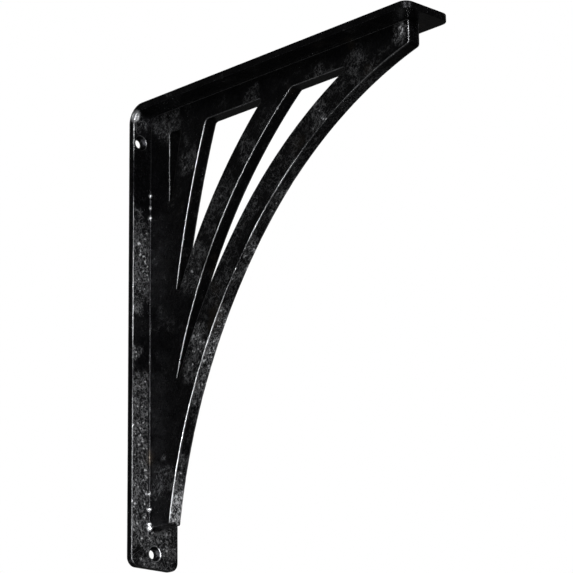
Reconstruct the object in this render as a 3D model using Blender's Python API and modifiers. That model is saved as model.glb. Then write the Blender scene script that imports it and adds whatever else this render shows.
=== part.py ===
"""Wrought iron shelf bracket: a flat bar bent to an L, with a fan-cut plate brace in its angle.

Frame: the wall face is the plane X = 0, +X runs out under the shelf, Y runs across the bar and +Z
is up. The origin is on the wall face, halfway up the wall leg. Side views are drawn in x, measured
from the wall face, and z, measured from the lower end of the wall leg.
"""

import math

import bmesh
import bpy
from mathutils import Matrix, Vector

MM = 0.001

# Flat bar, two inches by a quarter
BAR_WIDTH = 50.8 * MM
BAR_THICKNESS = 6.35 * MM
WALL_LEG = 400.0 * MM
SHELF_LEG = 330.2 * MM
BEND_RADIUS = 16.0 * MM
END_CORNER_RADIUS = 8.0 * MM
EDGE_ROUNDING = 0.8 * MM

# Countersunk screw holes through the wall leg
HOLE_RADIUS = 3.9 * MM
COUNTERSINK_RADIUS = 6.5 * MM
COUNTERSINK_DEPTH = 2.85 * MM
LOWER_HOLE_HEIGHT = 12.7 * MM
UPPER_HOLE_HEIGHT = 367.7 * MM
UPPER_HOLE_OFFSET = 17.2 * MM

# Brace, half-inch plate on the bar's centre line, clear of the bar by the weld gap
BRACE_THICKNESS = 12.7 * MM
WELD_GAP = 0.3 * MM
BRACE_FOOT = 33.3 * MM
BRACE_END = 314.3 * MM
RAIL_UNDERSIDE = 373.0 * MM
UPRIGHT_FRONT = 30.95 * MM
CORNER_ROUNDING = 1.6 * MM
POINT_ROUNDING = 2.05 * MM
NARROW_POINT_ROUNDING = 1.2 * MM
OUTER_POINT_ROUNDING = 1.1 * MM
HEAD_ROUNDING = 3.5 * MM
END_ROUNDING = 2.8 * MM

# Concave front of the brace: an upper arc, and a flatter lower arc tangent to it
ARCH_CENTRE = (403.0 * MM, 30.5 * MM)
ARCH_RADIUS = 353.8 * MM
ARCH_LOWER_RADIUS = 450.0 * MM
ARCH_CHANGE_ANGLE = math.radians(40.5)
ARCH_WIDTH = 22.1 * MM

# Outer strut, an even curved band
OUTER_STRUT_CENTRE = (439.7 * MM, 51.7 * MM)
OUTER_STRUT_RADIUS = 412.5 * MM
OUTER_STRUT_WIDTH = 22.3 * MM

# Inner strut, a nearly straight band that widens towards its head
INNER_STRUT_FRONT_CENTRE = (858.0 * MM, 92.0 * MM)
INNER_STRUT_FRONT_RADIUS = 830.0 * MM
INNER_STRUT_BACK_CENTRE = (878.2 * MM, 168.0 * MM)
INNER_STRUT_BACK_RADIUS = 857.0 * MM

# Finish: blackened iron, the plate a little glossier than the bar
IRON_COLOUR = (0.035, 0.035, 0.038, 1.0)
IRON_METALLIC = 0.9
BAR_ROUGHNESS = 0.42
BRACE_ROUGHNESS = 0.38

# Fineness of the facets
ARC_TOLERANCE = 0.05 * MM
HOLE_SIDES = 32
CORNER_SEGMENTS = 8
BEVEL_SEGMENTS = 2
SHARP_ANGLE = math.radians(40.0)
FLAT_ANGLE = math.radians(0.1)
CUT_MARGIN = 5.0 * MM
WELD_DISTANCE = 0.002 * MM
TOUCH_STEPS = 12


class Line:
    """A straight edge through a point; inward points to the inside of the outline."""

    def __init__(self, through, inward):
        self.through = Vector(through)
        self.inward = Vector(inward).normalized()

    def depth(self, point):
        return (point - self.through).dot(self.inward)

    def inward_at(self, point):
        return self.inward

    def run(self, start, end):
        return [end]


class Arc:
    """A round edge; side is 1 where the inside of the outline is outside the circle, else -1."""

    def __init__(self, centre, radius, side):
        self.centre = Vector(centre)
        self.radius = radius
        self.side = side

    def depth(self, point):
        return ((point - self.centre).length - self.radius) * self.side

    def inward_at(self, point):
        return (point - self.centre).normalized() * self.side

    def run(self, start, end):
        first = angle_of(start - self.centre)
        sweep = math.remainder(angle_of(end - self.centre) - first, math.tau)
        step = 2.0 * math.acos(1.0 - ARC_TOLERANCE / self.radius)
        count = max(1, math.ceil(abs(sweep) / step))
        angles = (first + sweep * i / count for i in range(1, count + 1))
        return [self.centre + self.radius * Vector((math.cos(a), math.sin(a))) for a in angles]


class Arch:
    """The brace's concave front, set back by an offset, with its inside on the far side."""

    def __init__(self, offset):
        centre = Vector(ARCH_CENTRE)
        change = Vector((-math.cos(ARCH_CHANGE_ANGLE), math.sin(ARCH_CHANGE_ANGLE)))
        lower_centre = centre - (ARCH_LOWER_RADIUS - ARCH_RADIUS) * change
        self.upper = Arc(centre, ARCH_RADIUS + offset, 1)
        self.lower = Arc(lower_centre, ARCH_LOWER_RADIUS + offset, 1)
        self.meeting = centre + (ARCH_RADIUS + offset) * change

    def arc_at(self, point):
        away = point - self.upper.centre
        return self.lower if math.atan2(away.y, -away.x) < ARCH_CHANGE_ANGLE else self.upper

    def depth(self, point):
        return self.arc_at(point).depth(point)

    def inward_at(self, point):
        return self.arc_at(point).inward_at(point)

    def run(self, start, end):
        first = self.arc_at(start)
        last = self.arc_at(end)
        if first is last:
            return first.run(start, end)
        return first.run(start, self.meeting) + last.run(self.meeting, end)


def angle_of(vector):
    return math.atan2(vector.y, vector.x)


def rounding_centre(first, second, radius, corner):
    """The centre of the circle that touches both edges from inside, near their corner."""
    point = Vector(corner)
    for _ in range(TOUCH_STEPS):
        a = first.inward_at(point)
        b = second.inward_at(point)
        short_a = radius - first.depth(point)
        short_b = radius - second.depth(point)
        cross = a.x * b.y - a.y * b.x
        point += Vector((short_a * b.y - short_b * a.y, a.x * short_b - b.x * short_a)) / cross
    return point


def rounded_outline(edges, corners):
    """A closed run of points along the edges. Each corner, given as its rough place and its
    radius, is the one where the edge of the same number begins."""
    roundings = []
    for i, (corner, radius) in enumerate(corners):
        centre = rounding_centre(edges[i - 1], edges[i], radius, corner)
        leave = centre - radius * edges[i - 1].inward_at(centre)
        join = centre - radius * edges[i].inward_at(centre)
        roundings.append((Arc(centre, radius, -1), leave, join))
    points = []
    for i, edge in enumerate(edges):
        arc, leave, join = roundings[i]
        points += arc.run(leave, join)
        points += edge.run(join, roundings[(i + 1) % len(edges)][1])
    return points


def bar_profile():
    """The bar seen from the side: the outside of the L, and its inside one thickness in."""
    inner_radius = BEND_RADIUS - BAR_THICKNESS
    bend_centre = Vector((BEND_RADIUS, WALL_LEG - BEND_RADIUS))
    outside = Arc(bend_centre, BEND_RADIUS, -1)
    inside = Arc(bend_centre, inner_radius, 1)
    tip = Vector((SHELF_LEG, WALL_LEG))
    under_tip = tip - Vector((0, BAR_THICKNESS))
    points = [Vector((0, 0)), bend_centre - Vector((BEND_RADIUS, 0))]
    points += outside.run(points[-1], bend_centre + Vector((0, BEND_RADIUS)))
    points += [tip, under_tip, bend_centre + Vector((0, inner_radius))]
    points += inside.run(points[-1], bend_centre - Vector((inner_radius, 0)))
    points += [Vector((BAR_THICKNESS, 0))]
    return points


def brace_profile():
    """The brace seen from the side: its outer edge, which follows the inside of the bar."""
    back = BAR_THICKNESS + WELD_GAP
    top = WALL_LEG - BAR_THICKNESS - WELD_GAP
    arch = Arch(0)
    edges = [
        Line((back, 0), (1, 0)),
        Line((0, top), (0, -1)),
        Line((BRACE_END, 0), (-1, 0)),
        arch,
        Line((0, BRACE_FOOT), (0, 1)),
    ]
    bend_rounding = BEND_RADIUS - back
    corners = [
        ((back, BRACE_FOOT), CORNER_ROUNDING),
        ((back, top), bend_rounding),
        ((BRACE_END, top), CORNER_ROUNDING),
        ((BRACE_END, RAIL_UNDERSIDE), END_ROUNDING),
        ((UPRIGHT_FRONT, BRACE_FOOT), CORNER_ROUNDING),
    ]
    return rounded_outline(edges, corners)


def height_on(arc, x):
    """The height where the upper left of an arc's circle is x from the wall."""
    return arc.centre.y + math.sqrt(arc.radius ** 2 - (arc.centre.x - x) ** 2)


def distance_on(arc, z):
    """How far from the wall the left of an arc's circle is at height z."""
    return arc.centre.x - math.sqrt(arc.radius ** 2 - (z - arc.centre.y) ** 2)


def crossing(first, second):
    """The upper left point where two arcs' circles cross."""
    between = second.centre - first.centre
    gap = between.length
    along = (gap ** 2 + first.radius ** 2 - second.radius ** 2) / (2.0 * gap)
    across = math.sqrt(first.radius ** 2 - along ** 2)
    foot = first.centre + between * (along / gap)
    turned = Vector((-between.y, between.x)) * (across / gap)
    return min(foot + turned, foot - turned, key=lambda point: point.x)


def fan_openings():
    """The three openings between upright, struts and arch, each with its point at the foot."""
    rail = Line((0, RAIL_UNDERSIDE), (0, -1))
    upright = Line((UPRIGHT_FRONT, 0), (1, 0))
    inner_back = Arc(INNER_STRUT_BACK_CENTRE, INNER_STRUT_BACK_RADIUS, 1)
    inner_front = Arc(INNER_STRUT_FRONT_CENTRE, INNER_STRUT_FRONT_RADIUS, -1)
    outer_back = Arc(OUTER_STRUT_CENTRE, OUTER_STRUT_RADIUS + OUTER_STRUT_WIDTH, 1)
    outer_front = Arc(OUTER_STRUT_CENTRE, OUTER_STRUT_RADIUS, -1)
    arch = Arch(ARCH_WIDTH)

    def head(arc):
        return (distance_on(arc, RAIL_UNDERSIDE), RAIL_UNDERSIDE)

    narrow = rounded_outline(
        [upright, rail, inner_back],
        [
            ((UPRIGHT_FRONT, height_on(inner_back, UPRIGHT_FRONT)), NARROW_POINT_ROUNDING),
            ((UPRIGHT_FRONT, RAIL_UNDERSIDE), CORNER_ROUNDING),
            (head(inner_back), CORNER_ROUNDING),
        ],
    )
    middle = rounded_outline(
        [inner_front, rail, outer_back],
        [
            (crossing(inner_front, outer_back), POINT_ROUNDING),
            (head(inner_front), HEAD_ROUNDING),
            (head(outer_back), CORNER_ROUNDING),
        ],
    )
    outer = rounded_outline(
        [outer_front, rail, arch],
        [
            (crossing(outer_front, arch.lower), OUTER_POINT_ROUNDING),
            (head(outer_front), HEAD_ROUNDING),
            (head(arch.upper), CORNER_ROUNDING),
        ],
    )
    return [narrow, middle, outer]


def black_iron(name, roughness):
    """Blackened iron, dark and half glossy."""
    material = bpy.data.materials.new(name)
    material.use_nodes = True
    shader = material.node_tree.nodes["Principled BSDF"]
    shader.inputs["Base Color"].default_value = IRON_COLOUR
    shader.inputs["Metallic"].default_value = IRON_METALLIC
    shader.inputs["Roughness"].default_value = roughness
    return material


def extruded(name, outlines, length, placing, collection):
    """A prism of the given length, even about its outlines' plane. The first outline is its
    edge and the rest are openings through it."""
    curve = bpy.data.curves.new(name, "CURVE")
    curve.dimensions = "2D"
    curve.fill_mode = "BOTH"
    curve.extrude = length / 2.0
    for points in outlines:
        spline = curve.splines.new("POLY")
        spline.points.add(len(points) - 1)
        for place, point in zip(spline.points, points):
            place.co = (point.x, point.y, 0.0, 1.0)
        spline.use_cyclic_u = True
    drawn = bpy.data.objects.new(name + "_outline", curve)
    drawn.matrix_world = placing
    collection.objects.link(drawn)
    bpy.context.view_layer.update()
    evaluated = drawn.evaluated_get(bpy.context.evaluated_depsgraph_get())
    mesh = bpy.data.meshes.new_from_object(evaluated)
    mesh.name = name
    close_caps(mesh)
    prism = bpy.data.objects.new(name, mesh)
    prism.matrix_world = drawn.matrix_world
    collection.objects.link(prism)
    bpy.data.objects.remove(drawn)
    return prism


def close_caps(mesh):
    """Welds the caps of an extruded outline to its sides, and joins the triangles they came in."""
    cage = bmesh.new()
    cage.from_mesh(mesh)
    bmesh.ops.remove_doubles(cage, verts=cage.verts, dist=WELD_DISTANCE)
    bmesh.ops.recalc_face_normals(cage, faces=cage.faces)
    bmesh.ops.dissolve_limit(
        cage, angle_limit=FLAT_ANGLE, verts=cage.verts, edges=cage.edges
    )
    shade(cage, mesh)


def shade(cage, mesh):
    """Gives the mesh its new faces, with smooth arcs and sharp corners."""
    cage.to_mesh(mesh)
    cage.free()
    mesh.shade_smooth()
    mesh.set_sharp_from_angle(angle=SHARP_ANGLE)


def side_view():
    """Turns a drawing in x and z upright, so that its prism runs along Y."""
    lift = Matrix.Translation((0, 0, -WALL_LEG / 2.0))
    return lift @ Matrix.Rotation(math.radians(90.0), 4, "X")


def round_free_corners(mesh):
    """Rounds the bar's four free corners, whose edges run through its thickness at the legs' ends."""
    cage = bmesh.new()
    cage.from_mesh(mesh)
    ends = (("y", 0.0), ("x", SHELF_LEG))
    corners = [
        edge
        for edge in cage.edges
        if abs(edge.verts[0].co.z - edge.verts[1].co.z) < WELD_DISTANCE
        and any(
            all(abs(getattr(vertex.co, axis) - place) < WELD_DISTANCE for vertex in edge.verts)
            for axis, place in ends
        )
    ]
    bmesh.ops.bevel(
        cage,
        geom=corners,
        offset=END_CORNER_RADIUS,
        offset_type="OFFSET",
        segments=CORNER_SEGMENTS,
        profile=0.5,
        affect="EDGES",
        clamp_overlap=False,
    )
    shade(cage, mesh)


def screw_hole_cutter(name, across, height, collection):
    """A countersunk hole through the wall leg, turned about X, its head on the room side."""
    beyond = BAR_THICKNESS + CUT_MARGIN
    turned = [
        (0.0, beyond),
        (COUNTERSINK_RADIUS, beyond),
        (COUNTERSINK_RADIUS, BAR_THICKNESS),
        (HOLE_RADIUS, BAR_THICKNESS - COUNTERSINK_DEPTH),
        (HOLE_RADIUS, -CUT_MARGIN),
        (0.0, -CUT_MARGIN),
    ]
    mesh = bpy.data.meshes.new(name)
    places = [(radius, 0.0, depth) for radius, depth in turned]
    mesh.from_pydata(places, [(i, i + 1) for i in range(len(places) - 1)], [])
    cutter = bpy.data.objects.new(name, mesh)
    collection.objects.link(cutter)
    cutter.rotation_euler = (0.0, math.radians(90.0), 0.0)
    cutter.location = (0.0, across, height - WALL_LEG / 2.0)
    lathe = cutter.modifiers.new("lathe", "SCREW")
    lathe.steps = HOLE_SIDES
    lathe.render_steps = HOLE_SIDES
    lathe.use_merge_vertices = True
    lathe.merge_threshold = WELD_DISTANCE
    return as_cutter(cutter)


def as_cutter(cutter):
    cutter.hide_render = True
    cutter.display_type = "WIRE"
    return cutter


def cut(solid, cutter):
    modifier = solid.modifiers.new(cutter.name, "BOOLEAN")
    modifier.operation = "DIFFERENCE"
    modifier.solver = "EXACT"
    modifier.object = cutter


def round_edges(solid):
    """Breaks the long edges, and leaves the facets of the arcs alone."""
    bevel = solid.modifiers.new("edges", "BEVEL")
    bevel.width = EDGE_ROUNDING
    bevel.segments = BEVEL_SEGMENTS
    bevel.limit_method = "ANGLE"
    bevel.angle_limit = SHARP_ANGLE
    bevel.loop_slide = False


def mounting_bar(parts, cutters):
    """The flat bar: bent, with its four free corners rounded and three screw holes."""
    bar = extruded("mounting_bar", [bar_profile()], BAR_WIDTH, side_view(), parts)
    round_free_corners(bar.data)
    round_edges(bar)
    holes = [
        ("lower_hole", 0.0, LOWER_HOLE_HEIGHT),
        ("upper_hole_left", UPPER_HOLE_OFFSET, UPPER_HOLE_HEIGHT),
        ("upper_hole_right", -UPPER_HOLE_OFFSET, UPPER_HOLE_HEIGHT),
    ]
    for name, across, height in holes:
        cut(bar, screw_hole_cutter(name, across, height, cutters))
    bar.data.materials.append(black_iron("bar_iron", BAR_ROUGHNESS))
    return bar


def centre_brace(parts):
    """The plate brace, cut through by the three openings of its fan."""
    outlines = [brace_profile()] + fan_openings()
    brace = extruded("centre_brace", outlines, BRACE_THICKNESS, side_view(), parts)
    round_edges(brace)
    brace.data.materials.append(black_iron("brace_iron", BRACE_ROUGHNESS))
    return brace


def new_collection(name):
    collection = bpy.data.collections.new(name)
    bpy.context.scene.collection.children.link(collection)
    return collection


def main():
    for old in list(bpy.data.objects):
        bpy.data.objects.remove(old)
    parts = new_collection("wrought_iron_bracket")
    cutters = new_collection("cutters")
    bracket = bpy.data.objects.new("bracket", None)
    parts.objects.link(bracket)
    for piece in (mounting_bar(parts, cutters), centre_brace(parts)):
        piece.parent = bracket


main()
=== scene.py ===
"""Looks of the wrought iron shelf bracket: fine meshes of the bar, the brace and their weld, the
blackened and rubbed iron they are made of, and a plain studio round them.

Frame: the wall face is the plane X = 0, +X runs out under the shelf, Y runs across the bar and +Z
is up. Side views are drawn in x, measured from the wall face, and z, measured from the lower end
of the wall leg. The bar is drawn flat, in s along it and u across it, and then bent.
"""

import math

import bmesh
import bpy
import numpy as np
from mathutils import Matrix, Vector, noise
from mathutils.geometry import delaunay_2d_cdt


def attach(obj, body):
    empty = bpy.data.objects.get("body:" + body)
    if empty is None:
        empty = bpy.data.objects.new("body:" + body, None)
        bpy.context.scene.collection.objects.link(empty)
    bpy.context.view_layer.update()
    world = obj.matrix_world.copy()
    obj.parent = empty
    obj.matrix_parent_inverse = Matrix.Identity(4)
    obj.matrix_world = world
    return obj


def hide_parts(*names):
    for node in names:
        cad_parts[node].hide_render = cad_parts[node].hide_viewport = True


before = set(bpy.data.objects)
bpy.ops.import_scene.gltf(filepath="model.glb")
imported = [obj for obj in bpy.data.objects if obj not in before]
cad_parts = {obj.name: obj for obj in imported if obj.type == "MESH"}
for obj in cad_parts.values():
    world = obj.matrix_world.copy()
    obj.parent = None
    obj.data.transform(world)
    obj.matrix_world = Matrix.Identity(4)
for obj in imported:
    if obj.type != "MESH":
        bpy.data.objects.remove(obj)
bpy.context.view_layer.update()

MM = 0.001

# Flat bar
BAR_WIDTH = 50.8 * MM
BAR_THICKNESS = 6.35 * MM
WALL_LEG = 400.0 * MM
SHELF_LEG = 330.2 * MM
BEND_RADIUS = 16.0 * MM
END_CORNER_RADIUS = 8.0 * MM
# Its middle line: radius, length and start of the bend, and the length of the flat bar
MIDDLE_RADIUS = BEND_RADIUS - BAR_THICKNESS / 2.0
BEND_LENGTH = MIDDLE_RADIUS * math.pi / 2.0
BEND_START = WALL_LEG - BEND_RADIUS
BAR_LENGTH = BEND_START + BEND_LENGTH + SHELF_LEG - BEND_RADIUS

# Countersunk screw holes through the wall leg
HOLE_RADIUS = 3.9 * MM
COUNTERSINK_RADIUS = 6.5 * MM
COUNTERSINK_DEPTH = 2.85 * MM
LOWER_HOLE_HEIGHT = 12.7 * MM
UPPER_HOLE_HEIGHT = 367.7 * MM
UPPER_HOLE_OFFSET = 17.2 * MM
HOLE_SIDES = 48

# Brace, half-inch plate on the bar's centre line
BRACE_THICKNESS = 12.7 * MM
WELD_GAP = 0.3 * MM
BRACE_FOOT = 33.3 * MM
BRACE_END = 314.3 * MM
RAIL_UNDERSIDE = 373.0 * MM
UPRIGHT_FRONT = 30.95 * MM
CORNER_ROUNDING = 1.6 * MM
POINT_ROUNDING = 2.05 * MM
NARROW_POINT_ROUNDING = 1.2 * MM
OUTER_POINT_ROUNDING = 1.1 * MM
HEAD_ROUNDING = 3.5 * MM
END_ROUNDING = 2.8 * MM

# Concave front of the brace: an upper arc, and a flatter lower arc tangent to it
ARCH_CENTRE = (403.0 * MM, 30.5 * MM)
ARCH_RADIUS = 353.8 * MM
ARCH_LOWER_RADIUS = 450.0 * MM
ARCH_CHANGE_ANGLE = math.radians(40.5)
ARCH_WIDTH = 22.1 * MM

# Struts
OUTER_STRUT_CENTRE = (439.7 * MM, 51.7 * MM)
OUTER_STRUT_RADIUS = 412.5 * MM
OUTER_STRUT_WIDTH = 22.3 * MM
INNER_STRUT_FRONT_CENTRE = (858.0 * MM, 92.0 * MM)
INNER_STRUT_FRONT_RADIUS = 830.0 * MM
INNER_STRUT_BACK_CENTRE = (878.2 * MM, 168.0 * MM)
INNER_STRUT_BACK_RADIUS = 857.0 * MM

# Weld, a small fillet all round the brace on the bar
WELD_LEG = 1.5 * MM
WELD_SINK = 0.35 * MM
WELD_BULGE = 0.14
WELD_UNEVENNESS = 0.12
WELD_UNEVEN_LENGTH = 6.0 * MM
WELD_RIPPLE = 0.025
WELD_RIPPLE_LENGTH = 2.7 * MM
WELD_RIPPLE_DRIFT = 3.0
WELD_STEP = 0.5 * MM
WELD_ARC_STEPS = 6
# Its size, and how bare or below zero how sooty it is, by distance along the bar in millimetres
WELD_SIZE = [(30, 1.0), (160, 0.95), (290, 0.7), (300, 0.9), (326, 0.9), (333, 0.08), (700, 0.08)]
WELD_SHINE = [(30, 0.0), (330, 0.0), (345, -1.2), (700, -1.2)]
# Lumps on the near side: distance along the bar, and how much larger they are than the bead
WELD_LUMPS = [(33.3, 1.3), (36.5, 0.9), (49, 1.1), (62, 0.3), (302, 0.4), (311, 0.2), (322, 0.5)]
WELD_LUMP_LENGTH = 1.3 * MM
# How bright the lumps are painted as bare iron, partly as the glints of their highlights
WELD_LUMP_SHINE = 1.6
# Share of the brace's half thickness past which the bead is on the near side
WELD_LUMP_SIDE = 0.8

# Relief of the surface, always inwards, so that nothing stands proud of the flat stock
SCALE_RELIEF = 0.07 * MM
SCALE_SIZE = 7.0 * MM
GRAIN_RELIEF = 0.05 * MM
GRAIN_SIZE = 3.2 * MM
NICK_RELIEF = 0.22 * MM
NICK_SIZE = 4.5 * MM
NICK_STEEPNESS = 2.2
NICK_START = 0.5
# How far the relief is evened out on rounded edges, and how exposed a rounding is at its ends
EDGE_SMOOTHING = 0.9
LEAST_EXPOSED = 0.4

# Where the black is rubbed through, partly real rubbing and partly painted sheen where the faces
# catch light, or with a strength below zero a painted shade: place in millimetres, reach, and
# strength.
# On the near face of the brace, as x and height.
PLATE_RUBS_SHEEN_AND_SHADE = [
    (28, 382, 18, 0.55),
    (54, 345, 14, 0.4),
    (134, 376, 12, 0.4),
    (214, 374, 9, 0.6),
    (128, 334, 14, 0.4),
    (94, 300, 14, 0.35),
    (64, 257, 15, 0.6),
    (56, 236, 13, 0.55),
    (66, 182, 17, 1.0),
    (60, 160, 15, 0.85),
    (212, 343, 14, 0.9),
    (131, 280, 10, 0.45),
    (255, 372, 16, 0.4),
    (22, 69, 14, 0.5),
    (24, 90, 4, 0.45),
    (306, 383, 9, 1.0),
    (100, 285, 42, 0.28),
    (158, 322, 42, 0.28),
    (92, 232, 36, 0.28),
    (215, 346, 36, 0.28),
    (262, 366, 22, 0.25),
]
# On the concave front of the brace, as x and height.
ARCH_RUBS_SHEEN_AND_SHADE = [
    (164, 284, 20, 0.5),
    (124, 249, 13, 1.0),
    (109, 234, 12, 0.8),
    (86, 199, 14, 1.1),
    (74, 174, 20, 1.2),
    (62, 147, 14, 1.0),
    (54, 136, 8, 0.9),
    (41, 84, 8, 0.7),
    (36, 68, 10, 1.0),
    (33, 46, 20, 1.8),
    (254, 352, 30, 0.4),
    (110, 220, 160, 0.3),
    (205, 320, 60, 0.25),
    (318, 386, 18, -2.0),
]
# On the room side of the wall leg, as y and height.
LEG_RUBS_SHEEN_AND_SHADE = [
    (-20, 383, 9, 0.6),
    (-14, 298, 16, 0.45),
    (-13, 275, 22, 0.85),
    (-13, 250, 20, 0.85),
    (-22, 224, 9, 0.8),
    (-21, 180, 9, 1.0),
    (-15, 141, 28, 0.8),
    (-15, 106, 26, 0.85),
    (-15, 56, 34, 0.85),
    (-2, 22, 20, 0.85),
    (4, 8, 24, 0.7),
    (-14, 347, 26, -0.5),
    (-14, 324, 18, -0.5),
    (-8, 181, 13, -0.4),
    (-18, 22, 20, 0.7),
    (15, 25, 15, 0.7),
]
# Patches fade and wander at their rims; lengths in millimetres
PATCH_FADE = 1.6
PATCH_SPREAD = 1.3
PATCH_DRIFT = 9.0
PATCH_DRIFT_SHARE = 0.5
PATCH_DRIFT_SIZE = 14.0
PATCH_FACING = 3.0
PATCH_FACING_START = 1.2
MOST_RUBBED = 2.0
# Clouds of light rubbing between the patches, faint on the near side and fuller on the far one
CLOUD_SIZE = 38.0
CLOUD_STEEPNESS = 1.6
CLOUD_START = 0.15
NEAR_CLOUDS = 0.10
FAR_CLOUDS = 0.5
FAR_REACH = 4.0
# How much of the rubbing is taken off the walls of openings, a painted shade in these recesses
OPENING_WALL_SHADE = 0.85
# The side of the bar that lies against wall and shelf
HIDDEN_SIDE = (-0.7, 0.0, 0.7)
HIDDEN_FACING = 10.0
HIDDEN_FACING_START = 6.0
# Dents, where an edge is knocked in: place in millimetres, reach, depth and how bare the iron is,
# which at the bend also paints the glint of its highlight.
BAR_DENTS_AND_GLINTS = [
    ((8.0, -26.0, 389.5), 6.5, 1.4, 2.6),
    ((6.35, -25.4, 335.0), 4.0, 0.3, 0.0),
    ((6.35, -25.4, 152.0), 5.0, 0.4, 0.0),
]

# How bright the worn edges are, partly real wear and partly painted glints that stand in for the
# edge highlights, or, below zero, how sooty they are: the near edge of the bar by distance along
# it, and the front edges of arch, upright, inner strut and outer strut by height, all in millimetres.
BAR_EDGE_WEAR_AND_GLINT = [
    (0, 0.1), (20, 0.3), (35, 0.35), (60, 0.2), (85, 0.4), (110, 0.4), (135, 0.35), (160, 0.0),
    (185, 0.1), (210, 0.45), (260, 0.35), (285, 0.15), (310, 0.15), (335, -0.2), (360, 0.15),
    (385, 0.7), (392, 0.7), (400, -0.4), (800, -0.6),
]
ARCH_EDGE_WEAR_AND_GLINT = [
    (34.5, 0.1), (36, 1.0), (143, 1.0), (160, 0.35), (178, 1.0), (195, 1.0), (213, 0.2), (230, 0.0),
    (248, 0.0), (265, 0.9), (283, 0.1), (300, 0.9), (318, 0.06), (335, 0.1), (353, 0.4), (370, 0.3),
    (376, 0.2), (383, 0.5), (390, 0.5),
]
UPRIGHT_EDGE_WEAR_AND_GLINT = [(290, 0.02), (316, 0.06), (322, 0.13), (350, 0.12), (356, 0.3), (368, 0.08)]
INNER_EDGE_WEAR_AND_GLINT = [
    (215, 0.0), (230, 0.03), (245, 0.4), (300, 0.55), (356, 0.6), (368, 0.4), (372, 0.2),
]
OUTER_EDGE_WEAR_AND_GLINT = [
    (154, 0.04), (162, 0.25), (172, 0.45), (230, 0.55), (246, 0.12), (262, 0.25), (275, 0.5),
    (305, 0.4), (368, 0.25),
]

# Fineness of the meshes
EDGE_ROUNDING = 0.7 * MM
ROUNDING_STEPS = 4
SUPPORT_BAND = 0.3 * MM
BRACE_SPACING = 1.35 * MM
BAR_SPACING = 1.25 * MM
BACK_SPACING = 2.6 * MM
LATTICE_CLEARANCE = 0.62
LATTICE_BATCH = 2000
TURN_STEP = math.radians(15.0)
TOUCH_STEPS = 12
JOIN_DISTANCE = 1e-6

# Finish: the blackened iron, soot in clouds that also paints shade, bare iron that also paints
# sheen and glints, and a trace of brown
BLACK = (0.011, 0.011, 0.012, 1.0)
SOOT_AND_SHADE = (0.005, 0.005, 0.006, 1.0)
SILVER = (0.74, 0.75, 0.77, 1.0)
BROWN = (0.050, 0.040, 0.030, 1.0)
METALLIC = 0.95
GLOSSIEST = 0.2
MATTEST = 0.6
HIDDEN_ROUGHNESS = 0.62
# Sizes in the finish, in millimetres
MOTTLE_SIZE = 11.0
BROWN_SIZE = 30.0
WEAR_SIZE = 4.0
BAR_GRAIN_SIZE = 2.5
BRACE_GRAIN_SIZE = 3.0
# How sparse and how bright the silvery grain is, how bright scratches are, and depths of the
# relief in millimetres
GRAIN_POWER = 11.0
GRAIN_STRENGTH = 42.0
SCRATCH_STRENGTH = 0.3
MOTTLE_BUMP = 0.15
GRAIN_BUMP = 0.35
SCRATCH_BUMP = -0.05
# Curled scratches: the size of the curls in millimetres, how wide the scratch is, and a seed
CURLS = [(6.5, 0.045, 2.0), (4.5, 0.055, 3.0)]
# Drawn-out scratches: their turn in degrees, how far they are stretched, their width in
# millimetres, and a seed
BAR_SCRATCHES = [
    ((25.0, 0.0, 0.0), (1.0, 1.0, 7.0), 0.8, 6.0),
    ((-60.0, 0.0, 0.0), (1.0, 1.0, 6.0), 0.8, 7.0),
]
BRACE_SCRATCHES = [
    ((0.0, 35.0, 0.0), (1.0, 1.0, 7.0), 0.8, 6.0),
    ((0.0, -50.0, 0.0), (1.0, 1.0, 6.0), 0.8, 7.0),
    ((50.0, 0.0, 0.0), (1.0, 1.0, 8.0), 0.9, 8.0),
]

# Studio, in metres and watts: soft boxes by their name, the way they lie from the bracket, their
# distance, size and power, the surround as the camera and as the iron sees it, and the floor
SOFT_BOXES = [
    ("strip", (0.645, -0.735, 0.06), 2.6, (0.22, 2.2), 100.0),
    ("low", (0.48, -0.56, -0.67), 1.9, (0.6, 0.6), 20.0),
    ("front", (0.97, 0.0, 0.24), 2.4, (0.5, 1.2), 24.0),
    ("left", (-0.69, -0.66, 0.28), 2.5, (1.4, 1.4), 0.3),
    ("left_low", (-0.69, -0.50, -0.50), 2.0, (0.5, 0.5), 1.6),
]
WHITE = (1.0, 1.0, 1.0, 1.0)
SURROUND_SEEN = 1.0
SURROUND_LIGHT = 0.05
FLOOR_REACH = 8.0
FLOOR_LEVEL = -1.6
FLOOR_COLOUR = (0.85, 0.85, 0.85, 1.0)
FLOOR_ROUGHNESS = 0.9
FLOOR_GLOW = 0.6

# Camera, fitted to the bar's edges in the photograph: angles in radians, and a focal length in pixels
CAMERA_AZIMUTH = 0.8056
CAMERA_ELEVATION = -0.2881
CAMERA_ROLL = -0.0109
CAMERA_TARGET = (150.0 * MM, 0.0, 0.0)
CAMERA_SHIFT = (-11.2787 * MM, -10.5405 * MM)
CAMERA_DISTANCE = 2262.2044 * MM
FOCAL_PIXELS = 2798.056
IMAGE_PIXELS = 573
SENSOR_WIDTH = 36.0


class Line:
    """A straight edge through a point; inward points to the inside of the outline."""

    def __init__(self, through, inward):
        self.through = Vector(through)
        self.inward = Vector(inward).normalized()

    def depth(self, point):
        return (point - self.through).dot(self.inward)

    def inward_at(self, point):
        return self.inward

    def run(self, start, end, spacing):
        count = max(1, round((end - start).length / spacing))
        points = [start.lerp(end, i / count) for i in range(count)]
        return [(point, self.inward) for point in points]


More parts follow.
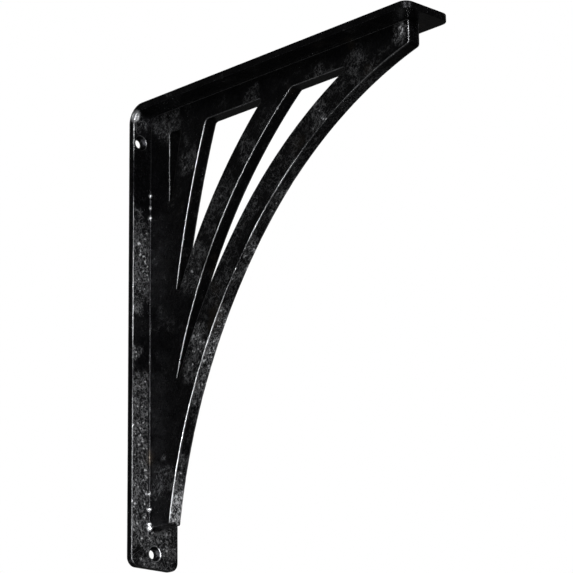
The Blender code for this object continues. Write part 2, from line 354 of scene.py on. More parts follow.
class Arc:
    """A round edge; side is 1 where the inside of the outline is outside the circle, else -1."""

    def __init__(self, centre, radius, side):
        self.centre = Vector(centre)
        self.radius = radius
        self.side = side

    def depth(self, point):
        return ((point - self.centre).length - self.radius) * self.side

    def inward_at(self, point):
        return (point - self.centre).normalized() * self.side

    def run(self, start, end, spacing):
        first = angle_of(start - self.centre)
        sweep = math.remainder(angle_of(end - self.centre) - first, math.tau)
        count = max(1, round(abs(sweep) * self.radius / spacing), math.ceil(abs(sweep) / TURN_STEP))
        rays = [direction(first + sweep * i / count) for i in range(count)]
        return [(self.centre + self.radius * ray, ray * self.side) for ray in rays]


class Arch:
    """The brace's concave front, set back by an offset, with its inside on the far side."""

    def __init__(self, offset):
        centre = Vector(ARCH_CENTRE)
        change = Vector((-math.cos(ARCH_CHANGE_ANGLE), math.sin(ARCH_CHANGE_ANGLE)))
        lower_centre = centre - (ARCH_LOWER_RADIUS - ARCH_RADIUS) * change
        self.upper = Arc(centre, ARCH_RADIUS + offset, 1)
        self.lower = Arc(lower_centre, ARCH_LOWER_RADIUS + offset, 1)
        self.meeting = centre + (ARCH_RADIUS + offset) * change

    def arc_at(self, point):
        away = point - self.upper.centre
        return self.lower if math.atan2(away.y, -away.x) < ARCH_CHANGE_ANGLE else self.upper

    def depth(self, point):
        return self.arc_at(point).depth(point)

    def inward_at(self, point):
        return self.arc_at(point).inward_at(point)

    def run(self, start, end, spacing):
        first = self.arc_at(start)
        last = self.arc_at(end)
        if first is last:
            return first.run(start, end, spacing)
        return first.run(start, self.meeting, spacing) + last.run(self.meeting, end, spacing)


def angle_of(vector):
    return math.atan2(vector.y, vector.x)


def direction(angle):
    return Vector((math.cos(angle), math.sin(angle)))


def rounding_centre(first, second, radius, corner):
    """The centre of the circle that touches both edges from inside, near their corner."""
    point = Vector(corner)
    for _ in range(TOUCH_STEPS):
        a = first.inward_at(point)
        b = second.inward_at(point)
        short_a = radius - first.depth(point)
        short_b = radius - second.depth(point)
        cross = a.x * b.y - a.y * b.x
        point += Vector((short_a * b.y - short_b * a.y, a.x * short_b - b.x * short_a)) / cross
    return point


def rounded_outline(edges, corners, spacing):
    """A closed run of points along the edges, each with its inward direction. Each corner, given
    as its rough place and its radius, is the one where the edge of the same number begins."""
    roundings = []
    for i, (corner, radius) in enumerate(corners):
        centre = rounding_centre(edges[i - 1], edges[i], radius, corner)
        leave = centre - radius * edges[i - 1].inward_at(centre)
        join = centre - radius * edges[i].inward_at(centre)
        roundings.append((Arc(centre, radius, -1), leave, join))
    run = []
    for i, edge in enumerate(edges):
        arc, leave, join = roundings[i]
        run += arc.run(leave, join, spacing)
        run += edge.run(join, roundings[(i + 1) % len(edges)][1], spacing)
    return run


def height_on(arc, x):
    """The height where the upper left of an arc's circle is x from the wall."""
    return arc.centre.y + math.sqrt(arc.radius ** 2 - (arc.centre.x - x) ** 2)


def distance_on(arc, z):
    """How far from the wall the left of an arc's circle is at height z."""
    return arc.centre.x - math.sqrt(arc.radius ** 2 - (z - arc.centre.y) ** 2)


def crossing(first, second):
    """The upper left point where two arcs' circles cross."""
    between = second.centre - first.centre
    gap = between.length
    along = (gap ** 2 + first.radius ** 2 - second.radius ** 2) / (2.0 * gap)
    across = math.sqrt(first.radius ** 2 - along ** 2)
    foot = first.centre + between * (along / gap)
    turned = Vector((-between.y, between.x)) * (across / gap)
    return min(foot + turned, foot - turned, key=lambda point: point.x)


def brace_profile(spacing):
    """The brace's outer edge, which follows the inside of the bar."""
    back = BAR_THICKNESS + WELD_GAP
    top = WALL_LEG - BAR_THICKNESS - WELD_GAP
    edges = [
        Line((back, 0), (1, 0)),
        Line((0, top), (0, -1)),
        Line((BRACE_END, 0), (-1, 0)),
        Arch(0),
        Line((0, BRACE_FOOT), (0, 1)),
    ]
    corners = [
        ((back, BRACE_FOOT), CORNER_ROUNDING),
        ((back, top), BEND_RADIUS - back),
        ((BRACE_END, top), CORNER_ROUNDING),
        ((BRACE_END, RAIL_UNDERSIDE), END_ROUNDING),
        ((UPRIGHT_FRONT, BRACE_FOOT), CORNER_ROUNDING),
    ]
    return rounded_outline(edges, corners, spacing)


def fan_openings(spacing):
    """The three openings between upright, struts and arch, each with its point at the foot."""
    rail = Line((0, RAIL_UNDERSIDE), (0, -1))
    upright = Line((UPRIGHT_FRONT, 0), (1, 0))
    inner_back = Arc(INNER_STRUT_BACK_CENTRE, INNER_STRUT_BACK_RADIUS, 1)
    inner_front = Arc(INNER_STRUT_FRONT_CENTRE, INNER_STRUT_FRONT_RADIUS, -1)
    outer_back = Arc(OUTER_STRUT_CENTRE, OUTER_STRUT_RADIUS + OUTER_STRUT_WIDTH, 1)
    outer_front = Arc(OUTER_STRUT_CENTRE, OUTER_STRUT_RADIUS, -1)
    arch = Arch(ARCH_WIDTH)

    def head(arc):
        return (distance_on(arc, RAIL_UNDERSIDE), RAIL_UNDERSIDE)

    narrow_corners = [
        ((UPRIGHT_FRONT, height_on(inner_back, UPRIGHT_FRONT)), NARROW_POINT_ROUNDING),
        ((UPRIGHT_FRONT, RAIL_UNDERSIDE), CORNER_ROUNDING),
        (head(inner_back), CORNER_ROUNDING),
    ]
    middle_corners = [
        (crossing(inner_front, outer_back), POINT_ROUNDING),
        (head(inner_front), HEAD_ROUNDING),
        (head(outer_back), CORNER_ROUNDING),
    ]
    outer_corners = [
        (crossing(outer_front, arch.lower), OUTER_POINT_ROUNDING),
        (head(outer_front), HEAD_ROUNDING),
        (head(arch.upper), CORNER_ROUNDING),
    ]
    return [
        rounded_outline([upright, rail, inner_back], narrow_corners, spacing),
        rounded_outline([inner_front, rail, outer_back], middle_corners, spacing),
        rounded_outline([outer_front, rail, arch], outer_corners, spacing),
    ]


class Loop:
    """A closed edge of a plate: points, directions into the iron, and the rows of its wall. Each
    row is how far in from the edge it runs, how deep below the front face it lies and how exposed
    it is. wear_and_glint gives how worn the edge is, partly real wear and partly a painted glint
    standing in for its highlight, by the points' distance along an axis."""

    def __init__(self, run, into_iron, rows, axis, wear_and_glint):
        self.points = np.array([tuple(point) for point, _ in run])
        self.normals = np.array([tuple(inward) for _, inward in run]) * into_iron
        self.rows = rows
        heights, shares = zip(*wear_and_glint)
        self.shares = np.interp(self.points[:, axis] / MM, heights, shares)

    def row(self, k):
        inset, depth, _ = self.rows[k]
        flat = self.points + self.normals * inset
        return np.column_stack([flat, np.full(len(flat), depth)])

    def wear_and_glint(self, k):
        return self.shares * self.rows[k][2]

    def rounded(self, k):
        """1 on the exposed rows of a rounding, and 0 on the others."""
        return np.full(len(self.points), float(self.rows[k][2] > 0.0))


def edge_rows(thickness, spacing):
    """The wall of a plate's edge: a rounding from the front face, the wall, and a rounding back.
    The middle of a rounding is the most exposed."""
    turns = [math.pi / 2.0 * i / ROUNDING_STEPS for i in range(ROUNDING_STEPS + 1)]
    rounding = [
        (
            EDGE_ROUNDING * (1.0 - math.sin(turn)),
            EDGE_ROUNDING * (1.0 - math.cos(turn)),
            LEAST_EXPOSED + (1.0 - LEAST_EXPOSED) * math.sin(2.0 * turn),
        )
        for turn in turns
    ]
    straight = thickness - 2.0 * EDGE_ROUNDING
    count = max(1, round(straight / spacing))
    wall = [(0.0, EDGE_ROUNDING + straight * i / count, 0.0) for i in range(1, count)]
    support = EDGE_ROUNDING + SUPPORT_BAND
    far = [(inset, thickness - depth, exposed) for inset, depth, exposed in reversed(rounding)]
    return [(support, 0.0, 0.0)] + rounding + wall + far + [(support, thickness, 0.0)]


def inside(points, loops):
    """Which points lie within an odd number of the closed loops."""
    within = np.zeros(len(points), dtype=bool)
    for loop in loops:
        for (x0, y0), (x1, y1) in zip(loop, np.roll(loop, -1, axis=0)):
            if y0 == y1:
                continue
            level = (points[:, 1] >= min(y0, y1)) & (points[:, 1] < max(y0, y1))
            across = x0 + (points[:, 1] - y0) * (x1 - x0) / (y1 - y0)
            within ^= level & (points[:, 0] < across)
    return within


def lattice(loops, spacing):
    """Points in a triangular pattern, inside the outline and clear of every edge."""
    edge = np.vstack(loops)
    low = edge.min(axis=0)
    high = edge.max(axis=0)
    rise = spacing * math.sqrt(3.0) / 2.0
    xs = np.arange(low[0], high[0], spacing)
    ys = np.arange(low[1], high[1], rise)
    grid = np.array([(x + spacing / 2.0 * (j % 2), y) for j, y in enumerate(ys) for x in xs])
    grid = grid[inside(grid, loops)]
    clear = np.full(len(grid), True)
    for first in range(0, len(grid), LATTICE_BATCH):
        batch = slice(first, first + LATTICE_BATCH)
        gaps = ((grid[batch, None, :] - edge[None, :, :]) ** 2).sum(axis=2).min(axis=1)
        clear[batch] = gaps > (spacing * LATTICE_CLEARANCE) ** 2
    return grid[clear]


def face_triangles(loops, spacing):
    """Fills the outline with even triangles. Gives the inner points and the triangles, counted
    over the loops' points first and then the inner points."""
    inner = lattice(loops, spacing)
    points = np.vstack(loops + [inner])
    edges = []
    first = 0
    for loop in loops:
        count = len(loop)
        edges += [(first + i, first + (i + 1) % count) for i in range(count)]
        first += count
    drawn = [Vector(point) / MM for point in points]
    made, _, faces, sources, _, _ = delaunay_2d_cdt(drawn, edges, [], 0, JOIN_DISTANCE)
    if len(made) != len(points):
        raise ValueError("the outline crosses itself")
    back = [source[0] for source in sources]
    triangles = np.array([[back[i] for i in face] for face in faces])
    centres = points[triangles].mean(axis=1)
    return inner, triangles[inside(centres, loops)]


def plate(name, loops, spacing, back_spacing, place):
    """A plate with rounded edges, closed all round. place turns points in the plate's own plane
    and depth into points of the frame."""
    points = []
    faces = []
    rims = {0: [], -1: []}
    count = 0
    # The edge layer holds the worn edges, partly real wear and partly painted glints
    layers = {"edge": [], "rounded": [], "wall": []}
    for loop in loops:
        rows = [loop.row(k) for k in range(len(loop.rows))]
        size = len(loop.points)
        within = float(loop is not loops[0])
        for k in range(len(rows)):
            layers["edge"].append(loop.wear_and_glint(k))
            layers["rounded"].append(loop.rounded(k))
            # The wall layer marks the walls of openings, which are kept black as painted shade
            layers["wall"].append(np.full(size, within * (0 < k < len(rows) - 1)))
        for k in range(len(rows) - 1):
            a = count + k * size
            for i in range(size):
                j = (i + 1) % size
                faces.append((a + i, a + j, a + size + j, a + size + i))
        rims[0].append(np.arange(count, count + size))
        rims[-1].append(np.arange(count + (len(rows) - 1) * size, count + len(rows) * size))
        points += rows
        count += len(rows) * size
    flat = np.vstack(points)
    for side, gap in ((0, spacing), (-1, back_spacing)):
        outlines = [flat[rim][:, :2] for rim in rims[side]]
        inner, triangles = face_triangles(outlines, gap)
        level = flat[rims[side][0][0], 2]
        numbers = np.concatenate(rims[side] + [np.arange(len(flat), len(flat) + len(inner))])
        flat = np.vstack([flat, np.column_stack([inner, np.full(len(inner), level)])])
        for values in layers.values():
            values.append(np.zeros(len(inner)))
        faces += [tuple(face) for face in numbers[triangles].tolist()]
    mesh = closed_mesh(name, place(flat), faces)
    for layer, values in layers.items():
        store(mesh, layer, np.concatenate(values))
    return shown(name, mesh)


def closed_mesh(name, points, faces):
    """A mesh whose faces all look outwards."""
    mesh = bpy.data.meshes.new(name)
    mesh.from_pydata(points.tolist(), [], faces)
    cage = bmesh.new()
    cage.from_mesh(mesh)
    bmesh.ops.recalc_face_normals(cage, faces=cage.faces)
    cage.to_mesh(mesh)
    cage.free()
    return mesh


def shown(name, mesh):
    mesh.shade_smooth()
    piece = bpy.data.objects.new(name, mesh)
    bpy.context.scene.collection.objects.link(piece)
    return piece


def store(mesh, name, values):
    """Keeps a number for each point of the mesh, for the materials to read."""
    layer = mesh.attributes.get(name) or mesh.attributes.new(name, "FLOAT", "POINT")
    layer.data.foreach_set("value", np.asarray(values, dtype=np.float32))


def stored(mesh, name):
    values = np.zeros(len(mesh.vertices), dtype=np.float32)
    mesh.attributes[name].data.foreach_get("value", values)
    return values


def coordinates(mesh, source="vertices"):
    """The places of a mesh's points, or their normals, as rows of an array."""
    values = np.zeros(3 * len(mesh.vertices), dtype=np.float32)
    if source == "vertices":
        mesh.vertices.foreach_get("co", values)
    else:
        mesh.vertex_normals.foreach_get("vector", values)
    return values.reshape(-1, 3).astype(float)


def field(points, size, seed, octaves=3):
    """Smooth noise from -1 to 1 at each point, with features of a given size."""
    shift = Vector((17.3, -5.1, 9.7)) * seed
    return np.array([
        noise.fractal(Vector(point) / size + shift, 1.0, 2.0, octaves, noise_basis="PERLIN_NEW")
        for point in points
    ])


def roughen(piece, dents_and_glints, seed):
    """Gives a piece the shallow unevenness of rolled and hand-dressed iron, all of it inwards.
    Along the rounded edges it is smoother, so that their light runs on in a line. Where a dent is
    bare, its edge is painted bright, partly as a painted glint."""
    mesh = piece.data
    places = coordinates(mesh)
    normals = coordinates(mesh, "normals")
    edge = stored(mesh, "edge")
    scale = 0.5 - 0.5 * np.clip(field(places, SCALE_SIZE, seed), -1.0, 1.0)
    grain = 0.5 - 0.5 * np.clip(field(places, GRAIN_SIZE, seed + 1), -1.0, 1.0)
    smoothed = EDGE_SMOOTHING * stored(mesh, "rounded")
    even = 0.5 - 0.5 * np.clip(field(places, SCALE_SIZE, seed, 1), -1.0, 1.0)
    scale += smoothed * (even - scale)
    grain += smoothed * (0.5 - grain)
    nick = np.clip(field(places, NICK_SIZE, seed + 2, 1) * NICK_STEEPNESS - NICK_START, 0.0, 1.0)
    depth = SCALE_RELIEF * scale + GRAIN_RELIEF * grain + NICK_RELIEF * nick * np.maximum(edge, 0.0)
    drawn = in_drawing(places)
    for centre, radius, deep, bare_glint in dents_and_glints:
        near = reach(drawn, centre, radius)
        depth += deep * MM * near
        edge = np.maximum(edge, np.clip(bare_glint * near, 0.0, 1.0))
    moved = places - normals * depth[:, None]
    mesh.vertices.foreach_set("co", moved.astype(np.float32).ravel())
    mesh.update()
    store(mesh, "edge", edge)


def in_drawing(places):
    """Points of the frame in millimetres, with their height from the lower end of the wall leg."""
    return places / MM + np.array((0.0, 0.0, WALL_LEG / 2.0 / MM))


def reach(places, centre, radius):
    """1 at the centre of a patch, falling smoothly to 0 at its radius."""
    gap = np.linalg.norm(places - np.array(centre), axis=1) / radius
    near = np.clip(PATCH_FADE * (1.0 - gap), 0.0, 1.0)
    return near * near * (3.0 - 2.0 * near)


def rub_sheen_and_shade(piece, patches, seed):
    """Stores how far the black is rubbed off, partly real rubbing and partly painted sheen where the
    faces catch light: in the given patches, on the faces that look their way, and in clouds
    elsewhere. Patches below zero are painted shade. The walls of openings are kept black, a painted
    shade in these recesses."""
    mesh = piece.data
    normals = coordinates(mesh, "normals")
    places = in_drawing(coordinates(mesh))
    drift = np.column_stack([field(places, PATCH_DRIFT_SIZE, seed + k, 2) for k in range(3)])
    rub_sheen_shade = np.zeros(len(places))
    painted_shade = np.zeros(len(places))
    for centre, radius, strength, facing in patches:
        turned = np.clip(normals @ np.array(facing) * PATCH_FACING - PATCH_FACING_START, 0.0, 1.0)
        wander = min(PATCH_DRIFT, PATCH_DRIFT_SHARE * radius) * drift
        near = reach(places + wander, centre, radius * PATCH_SPREAD)
        rub_sheen_shade = np.maximum(rub_sheen_shade, strength * turned * near)
        painted_shade = np.maximum(painted_shade, -strength * turned * near)
    clouds = np.clip(field(places, CLOUD_SIZE, seed + 5) * CLOUD_STEEPNESS - CLOUD_START, 0.0, 1.0)
    far = np.clip(places[:, 1] / FAR_REACH, 0.0, 1.0)
    rub_sheen_shade = np.clip(rub_sheen_shade + (NEAR_CLOUDS + FAR_CLOUDS * far) * clouds, 0.0, MOST_RUBBED)
    store(mesh, "rub_sheen_shade", rub_sheen_shade * (1.0 - OPENING_WALL_SHADE * stored(mesh, "wall")) - painted_shade)


def dull_hidden_side(bar):
    """Stores which faces of the bar lie against wall and shelf, where the iron is left matt."""
    facing = coordinates(bar.data, "normals") @ np.array(HIDDEN_SIDE)
    store(bar.data, "hidden", np.clip(HIDDEN_FACING * facing - HIDDEN_FACING_START, 0.0, 1.0))


def upright_plate(flat):
    """Stands a drawing in x and z upright, its depth running along Y from the near side."""
    x, z, depth = flat.T
    return np.column_stack([x, depth - BRACE_THICKNESS / 2.0, z - WALL_LEG / 2.0])


def bent(flat):
    """Bends the bar: s runs up the wall leg, round the bend and out along the shelf leg, u runs
    across, and depth is measured from the room side."""
    s, u, depth = flat.T
    turn = np.clip((s - BEND_START) / MIDDLE_RADIUS, 0.0, math.pi / 2.0)
    below = np.minimum(s - BEND_START, 0.0)
    beyond = np.maximum(s - BEND_START - BEND_LENGTH, 0.0)
    radius = BEND_RADIUS - BAR_THICKNESS + depth
    x = BEND_RADIUS - radius * np.cos(turn) + beyond
    z = BEND_START + radius * np.sin(turn) + below
    return np.column_stack([x, u, z - WALL_LEG / 2.0])


def bar_loops():
    """The bar's outline with its rounded corners, and its three screw holes."""
    half = BAR_WIDTH / 2.0
    edges = [
        Line((0, -half), (0, 1)),
        Line((BAR_LENGTH, 0), (-1, 0)),
        Line((0, half), (0, -1)),
        Line((0, 0), (1, 0)),
    ]
    corners = [
        ((0, -half), END_CORNER_RADIUS),
        ((BAR_LENGTH, -half), END_CORNER_RADIUS),
        ((BAR_LENGTH, half), END_CORNER_RADIUS),
        ((0, half), END_CORNER_RADIUS),
    ]
    run = rounded_outline(edges, corners, BAR_SPACING)
    loops = [Loop(run, 1, edge_rows(BAR_THICKNESS, BAR_SPACING), 0, BAR_EDGE_WEAR_AND_GLINT)]
    for s, u, wear_and_glint in (
        (LOWER_HOLE_HEIGHT, 0.0, 1.0),
        (UPPER_HOLE_HEIGHT, UPPER_HOLE_OFFSET, 0.2),
        (UPPER_HOLE_HEIGHT, -UPPER_HOLE_OFFSET, 0.2),
    ):
        rays = [direction(math.tau * i / HOLE_SIDES) for i in range(HOLE_SIDES)]
        run = [(Vector((s, u)) + HOLE_RADIUS * ray, ray) for ray in rays]
        loops.append(Loop(run, 1, hole_rows(), 0, [(0, wear_and_glint)]))
    return loops


def hole_rows():
    """The wall of a countersunk hole, from the room side: a worn rim, painted bright partly as a
    glint, a dull cone and a shank.
    """
    rim = COUNTERSINK_RADIUS - HOLE_RADIUS
    slope = rim / COUNTERSINK_DEPTH
    worn_glinting_rim = ((0.36 * MM, 0.0, 0.0), (0.22 * MM, 0.0, 0.5), (0.05 * MM, 0.06 * MM, 1.0))
    cone = ((0.25 * MM, 0.6), (0.6 * MM, -1.0), (1.6 * MM, -1.0), (2.4 * MM, -1.0))
    rows = [(rim + outside, depth, exposed) for outside, depth, exposed in worn_glinting_rim]
    rows += [(rim - slope * depth, depth, exposed) for depth, exposed in cone]
    rows += [(0.0, COUNTERSINK_DEPTH, 0.1), (0.0, BAR_THICKNESS - 0.2 * MM, 0.0)]
    rows += [(0.1 * MM, BAR_THICKNESS, 0.0), (0.6 * MM, BAR_THICKNESS, 0.0)]
    return rows


def brace_loops():
    rows = edge_rows(BRACE_THICKNESS, BRACE_SPACING)
    loops = [Loop(brace_profile(BRACE_SPACING), 1, rows, 1, ARCH_EDGE_WEAR_AND_GLINT)]
    wears_and_glints = (UPRIGHT_EDGE_WEAR_AND_GLINT, INNER_EDGE_WEAR_AND_GLINT, OUTER_EDGE_WEAR_AND_GLINT)
    for run, wear_and_glint in zip(fan_openings(BRACE_SPACING), wears_and_glints):
        loops.append(Loop(run, -1, rows, 1, wear_and_glint))
    return loops


def mounting_bar():
    return plate("forged_bar", bar_loops(), BAR_SPACING, BACK_SPACING, bent)


def centre_brace():
    return plate("fan_brace", brace_loops(), BRACE_SPACING, BRACE_SPACING, upright_plate)


def weld():
    """The fillet weld: a rippled bead on the bar, all round the foot of the brace."""
    half = BRACE_THICKNESS / 2.0
    end = BEND_START + BEND_LENGTH + BRACE_END - BEND_RADIUS
    edges = [
        Line((0, -half), (0, 1)),
        Line((end, 0), (-1, 0)),
        Line((0, half), (0, -1)),
        Line((BRACE_FOOT, 0), (1, 0)),
    ]
    corners = [
        ((BRACE_FOOT, -half), CORNER_ROUNDING),
        ((end, -half), CORNER_ROUNDING),
        ((end, half), CORNER_ROUNDING),
        ((BRACE_FOOT, half), CORNER_ROUNDING),
    ]
    run = rounded_outline(edges, corners, WELD_STEP)
    base = np.array([tuple(point) for point, _ in run])
    outward = -np.array([tuple(inward) for _, inward in run])
    travelled = np.arange(len(run)) * WELD_STEP
    uneven = field(np.column_stack([base, np.zeros(len(base))]), WELD_UNEVEN_LENGTH, 3)
    ripples = math.tau * travelled / WELD_RIPPLE_LENGTH + WELD_RIPPLE_DRIFT * uneven
    leg = WELD_LEG * (1.0 + WELD_UNEVENNESS * uneven) * (1.0 + WELD_RIPPLE * np.sin(ripples))
    leg *= np.interp(base[:, 0] / MM, *zip(*WELD_SIZE))
    shine = np.interp(base[:, 0] / MM, *zip(*WELD_SHINE))
    near_side = base[:, 1] < -WELD_LUMP_SIDE * half
    for along, extra in WELD_LUMPS:
        gap = np.abs(base[:, 0] - along * MM) / WELD_LUMP_LENGTH
        lump = extra * np.exp(-gap ** 2) * near_side
        leg += WELD_LEG * lump
        shine = np.maximum(shine, np.clip(WELD_LUMP_SHINE * lump, 0.0, 1.0))
    section = []
    for i in range(WELD_ARC_STEPS + 1):
        t = i / WELD_ARC_STEPS
        crown = WELD_BULGE * math.sin(math.pi * t)
        section.append((leg * (1.0 - t + crown), leg * (t + crown)))
    sink = np.full(len(leg), -WELD_SINK)
    section += [(sink, leg), (sink, sink), (leg, sink)]
    rings = []
    for away, height in section:
        flat = base + outward * away[:, None]
        rings.append(bent(np.column_stack([flat, -height])))
    sides = len(rings)
    count = len(run)
    points = np.stack(rings, axis=1).reshape(-1, 3)
    faces = []
    for i in range(count):
        after = (i + 1) % count
        for k in range(sides):
            j = (k + 1) % sides
            faces.append((i * sides + k, after * sides + k, after * sides + j, i * sides + j))
    mesh = closed_mesh("weld_bead", points, faces)
    # The edge layer paints the weld's lumps bright, partly as painted glints
    store(mesh, "edge", np.repeat(shine, sides))
    store(mesh, "wall", np.zeros(len(points)))
    return shown("weld_bead", mesh)


class Shader:
    """A small helper that adds nodes to a material and joins them up."""

    def __init__(self, name):
        self.material = bpy.data.materials.new(name)
        self.material.use_nodes = True
        self.tree = self.material.node_tree
        self.principled = self.tree.nodes["Principled BSDF"]
        place = self.add("ShaderNodeTexCoord")
        to_millimetres = [place.outputs["Object"], (1.0 / MM,) * 3]
        self.place = self.joined("ShaderNodeVectorMath", to_millimetres, "MULTIPLY")

    def add(self, kind):
        return self.tree.nodes.new(kind)

    def put(self, value, socket):
        if isinstance(value, bpy.types.NodeSocket):
            self.tree.links.new(value, socket)
        else:
            socket.default_value = value

    def joined(self, kind, values, operation):
        node = self.add(kind)
        node.operation = operation
        for value, socket in zip(values, node.inputs):
            self.put(value, socket)
        return node.outputs[0]

    def maths(self, operation, *values):
        return self.joined("ShaderNodeMath", values, operation)

    def layer(self, name):
        node = self.add("ShaderNodeAttribute")
        node.attribute_name = name
        return node.outputs["Fac"]

    def noise(self, size, detail=3.0, rough=0.5, seed=0.0, turn=(0.0,) * 3, stretch=(1.0,) * 3):
        """Noise with features of a size in millimetres, drawn out along a turned direction."""
        mapping = self.add("ShaderNodeMapping")
        mapping.vector_type = "TEXTURE"
        self.put(self.place, mapping.inputs["Vector"])
        mapping.inputs["Location"].default_value = (seed * 37.0, seed * -53.0, seed * 71.0)
        mapping.inputs["Rotation"].default_value = [math.radians(angle) for angle in turn]
        mapping.inputs["Scale"].default_value = [size * along for along in stretch]
        node = self.add("ShaderNodeTexNoise")
        self.put(mapping.outputs[0], node.inputs["Vector"])
        node.inputs["Scale"].default_value = 1.0
        node.inputs["Detail"].default_value = detail
        node.inputs["Roughness"].default_value = rough
        return node.outputs["Fac"]

    def curls(self, size, width, seed):
        """Fine curved scratches: the level lines of one noise, broken up by another."""
        level = self.maths("SUBTRACT", self.noise(size, 1.0, 0.5, seed), 0.5)
        line = self.ramp(self.maths("ABSOLUTE", level), 0.0, width, 1.0, 0.0)
        breaks = self.ramp(self.noise(size, 1.0, 0.5, seed + 0.5), 0.46, 0.58)
        return self.maths("MULTIPLY", line, breaks)

    def ramp(self, value, low, high, to_low=0.0, to_high=1.0):
        node = self.add("ShaderNodeMapRange")
        node.interpolation_type = "SMOOTHSTEP"
        self.put(value, node.inputs["Value"])
        node.inputs["From Min"].default_value = low
        node.inputs["From Max"].default_value = high
        node.inputs["To Min"].default_value = to_low
        node.inputs["To Max"].default_value = to_high
        return node.outputs["Result"]

    def brightest(self, first, *others):
        """The greatest of several values."""
        for other in others:
            first = self.maths("MAXIMUM", first, other)
        return first

    def blend(self, share, first, second):
        """Mixes two colours, through the colour sockets of the mix node."""
        node = self.add("ShaderNodeMix")
        node.data_type = "RGBA"
        self.put(share, node.inputs[0])
        self.put(first, node.inputs[6])
        self.put(second, node.inputs[7])
        return node.outputs[2]

    def bump(self, height, distance, before=None):
        node = self.add("ShaderNodeBump")
        node.inputs["Strength"].default_value = 1.0
        node.inputs["Distance"].default_value = distance * MM
        self.put(height, node.inputs["Height"])
        if before is not None:
            self.put(before, node.inputs["Normal"])
        return node.outputs["Normal"]


def scratch_marks(iron, scratches):
    """Where the scratches run: curled ones, and ones drawn out in a few directions."""
    marks = [iron.curls(size, width, seed) for size, width, seed in CURLS]
    for turn, stretch, size, seed in scratches:
        marks.append(iron.ramp(iron.noise(size, 1.0, 0.5, seed, turn, stretch), 0.62, 0.70))
    return iron.brightest(*marks)


def rubbed_iron_with_painted_light(name, grain_size, scratches):
    """Blackened iron: black and half glossy, clouded, and rubbed to a silvery grain in places. The
    silver also paints sheen and edge glints, and the soot paints shade where the rubbing is below
    zero.
    """
    iron = Shader(name)
    rub_sheen_shade = iron.layer("rub_sheen_shade")
    edge = iron.layer("edge")
    mottle = iron.noise(MOTTLE_SIZE, 4.0, 0.6)
    grain = iron.noise(grain_size, 1.0, 0.6, 1.0)
    marks = scratch_marks(iron, scratches)
    clouded = iron.maths("ADD", mottle, rub_sheen_shade)
    mottled = iron.maths("ADD", rub_sheen_shade, iron.ramp(mottle, 0.25, 0.75, -0.5, 0.02))
    patchy = iron.ramp(mottled, 0.0, 0.9)

    # Bare iron, partly painted sheen and glints: grain and scratches in the patches, faint scratches
    # round them, and worn edges
    speckles = iron.maths("MULTIPLY", iron.maths("POWER", grain, GRAIN_POWER), GRAIN_STRENGTH)
    bright = iron.brightest(speckles, iron.maths("MULTIPLY", marks, SCRATCH_STRENGTH))
    brighter = iron.maths("MULTIPLY", bright, iron.ramp(rub_sheen_shade, 0.8, 2.0, 0.9, 3.0))
    grey = iron.maths("MULTIPLY", patchy, brighter)
    faint = iron.maths("MULTIPLY", marks, iron.ramp(clouded, 0.54, 0.95, 0.012, 0.25))
    spotted = iron.ramp(iron.noise(WEAR_SIZE, 3.0, 0.6, 4.0), 0.3, 0.55, 0.5, 1.0)
    silver = iron.brightest(grey, faint, iron.maths("MULTIPLY", edge, spotted))

    # Colour: soot, black and a trace of brown beneath the bare iron; the soot also paints shade where
    # the rubbing is below zero
    dark = iron.blend(iron.ramp(clouded, 0.3, 0.6), SOOT_AND_SHADE, BLACK)
    tint = iron.ramp(iron.noise(BROWN_SIZE, 3.0, 0.5, 5.0), 0.62, 0.75, 0.0, 0.5)
    dark = iron.blend(tint, dark, BROWN)
    shader = iron.principled.inputs
    iron.put(iron.blend(silver, dark, SILVER), shader["Base Color"])
    shader["Metallic"].default_value = METALLIC

    # Gloss: duller where it is rubbed, at worn edges and on the hidden side
    matt = iron.maths("ADD", iron.maths("ADD", patchy, grain), iron.maths("MULTIPLY", edge, 0.3))
    seen = iron.ramp(matt, -0.3, 2.2, GLOSSIEST, MATTEST)
    hidden = iron.maths("MULTIPLY", iron.layer("hidden"), HIDDEN_ROUGHNESS)
    iron.put(iron.brightest(seen, hidden), shader["Roughness"])

    # Relief: the mottling, the grain and the scratches
    soft = iron.bump(mottle, MOTTLE_BUMP)
    height = iron.maths("MULTIPLY", grain, iron.ramp(patchy, 0.0, 1.0, 0.2, 1.0))
    rough = iron.bump(height, GRAIN_BUMP, soft)
    iron.put(iron.bump(marks, SCRATCH_BUMP, rough), shader["Normal"])
    return iron.material


def area_light(name, towards, distance, size, power):
    """A soft box seen from the bracket in a given direction, facing it and hidden from view."""
    lamp = bpy.data.lights.new(name, "AREA")
    lamp.shape = "RECTANGLE"
    lamp.size, lamp.size_y = size
    lamp.energy = power
    box = bpy.data.objects.new(name, lamp)
    away = Vector(towards).normalized()
    box.location = Vector(CAMERA_TARGET) + away * distance
    box.rotation_euler = away.to_track_quat("Z", "Y").to_euler()
    box.visible_camera = False
    bpy.context.scene.collection.objects.link(box)


def studio():
    """A white surround for the eye, a dim one for the iron, and five soft boxes."""
    world = bpy.data.worlds.new("surround")
    bpy.context.scene.world = world
    world.use_nodes = True
    tree = world.node_tree
    dim = tree.nodes["Background"]
    white = tree.nodes.new("ShaderNodeBackground")
    for surround, strength in ((dim, SURROUND_LIGHT), (white, SURROUND_SEEN)):
        surround.inputs["Color"].default_value = WHITE
        surround.inputs["Strength"].default_value = strength
    seen = tree.nodes.new("ShaderNodeLightPath")
    either = tree.nodes.new("ShaderNodeMixShader")
    tree.links.new(seen.outputs["Is Camera Ray"], either.inputs[0])
    tree.links.new(dim.outputs[0], either.inputs[1])
    tree.links.new(white.outputs[0], either.inputs[2])
    tree.links.new(either.outputs[0], tree.nodes["World Output"].inputs["Surface"])
    for soft_box in SOFT_BOXES:
        area_light(*soft_box)


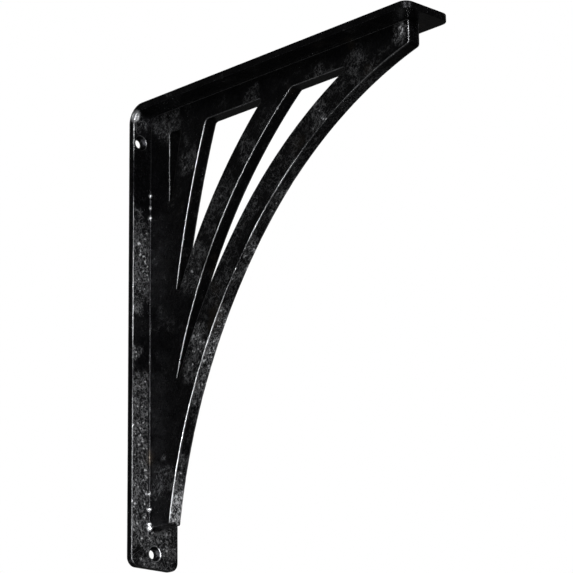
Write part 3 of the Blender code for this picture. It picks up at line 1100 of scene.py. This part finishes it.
def floor():
    """The pale studio floor, far below the bracket."""
    corners = [(-1.0, -1.0), (1.0, -1.0), (1.0, 1.0), (-1.0, 1.0)]
    points = [(FLOOR_REACH * x, FLOOR_REACH * y, FLOOR_LEVEL) for x, y in corners]
    mesh = bpy.data.meshes.new("floor")
    mesh.from_pydata(points, [], [(0, 1, 2, 3)])
    ground = shown("floor", mesh)
    pale = bpy.data.materials.new("pale_floor")
    pale.use_nodes = True
    shader = pale.node_tree.nodes["Principled BSDF"].inputs
    shader["Base Color"].default_value = FLOOR_COLOUR
    shader["Roughness"].default_value = FLOOR_ROUGHNESS
    shader["Emission Color"].default_value = WHITE
    shader["Emission Strength"].default_value = FLOOR_GLOW
    mesh.materials.append(pale)
    ground.visible_diffuse = False
    ground.visible_glossy = False


def camera():
    """The photograph's view: from the front left, below the bracket, looking up."""
    across = Vector((math.cos(CAMERA_AZIMUTH), math.sin(CAMERA_AZIMUTH), 0.0))
    back = Vector((
        math.sin(CAMERA_AZIMUTH) * math.cos(CAMERA_ELEVATION),
        -math.cos(CAMERA_AZIMUTH) * math.cos(CAMERA_ELEVATION),
        math.sin(CAMERA_ELEVATION),
    ))
    up = back.cross(across)
    right = math.cos(CAMERA_ROLL) * across + math.sin(CAMERA_ROLL) * up
    top = math.cos(CAMERA_ROLL) * up - math.sin(CAMERA_ROLL) * across
    place = Vector(CAMERA_TARGET) + CAMERA_DISTANCE * back
    place -= CAMERA_SHIFT[0] * right + CAMERA_SHIFT[1] * top
    lens = bpy.data.cameras.new("camera")
    lens.sensor_width = SENSOR_WIDTH
    lens.lens = FOCAL_PIXELS / IMAGE_PIXELS * SENSOR_WIDTH
    viewer = bpy.data.objects.new("camera", lens)
    viewer.matrix_world = Matrix.Translation(place) @ Matrix((right, top, back)).transposed().to_4x4()
    bpy.context.scene.collection.objects.link(viewer)
    bpy.context.scene.camera = viewer


def main():
    camera()
    studio()
    floor()
    bar = mounting_bar()
    brace = centre_brace()
    bead = weld()
    roughen(bar, BAR_DENTS_AND_GLINTS, 1)
    roughen(brace, [], 5)
    face = BAR_THICKNESS / MM
    side = -BRACE_THICKNESS / 2.0 / MM
    on_leg = [((face, y, z), size, strength, (1, 0, 0)) for y, z, size, strength in LEG_RUBS_SHEEN_AND_SHADE]
    on_plate = [((x, side, z), size, strength, (0, -1, 0)) for x, z, size, strength in PLATE_RUBS_SHEEN_AND_SHADE]
    lean = (math.cos(ARCH_CHANGE_ANGLE), 0.0, -math.sin(ARCH_CHANGE_ANGLE))
    on_arch = [((x, 0.0, z), size, strength, lean) for x, z, size, strength in ARCH_RUBS_SHEEN_AND_SHADE]
    rub_sheen_and_shade(bar, on_leg, 11)
    dull_hidden_side(bar)
    rub_sheen_and_shade(brace, on_plate + on_arch, 21)
    rub_sheen_and_shade(bead, [], 31)
    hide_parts("mounting_bar")
    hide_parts("centre_brace")
    bar_iron = rubbed_iron_with_painted_light("bar_iron", BAR_GRAIN_SIZE, BAR_SCRATCHES)
    brace_iron = rubbed_iron_with_painted_light("brace_iron", BRACE_GRAIN_SIZE, BRACE_SCRATCHES)
    for piece, slot, material in (
        (bar, "bar_iron", bar_iron),
        (brace, "brace_iron", brace_iron),
        (bead, "brace_iron", brace_iron),
    ):
        piece.data.materials.append(material)
        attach(piece, "root")
    bpy.context.scene.view_settings.view_transform = "Standard"


main()
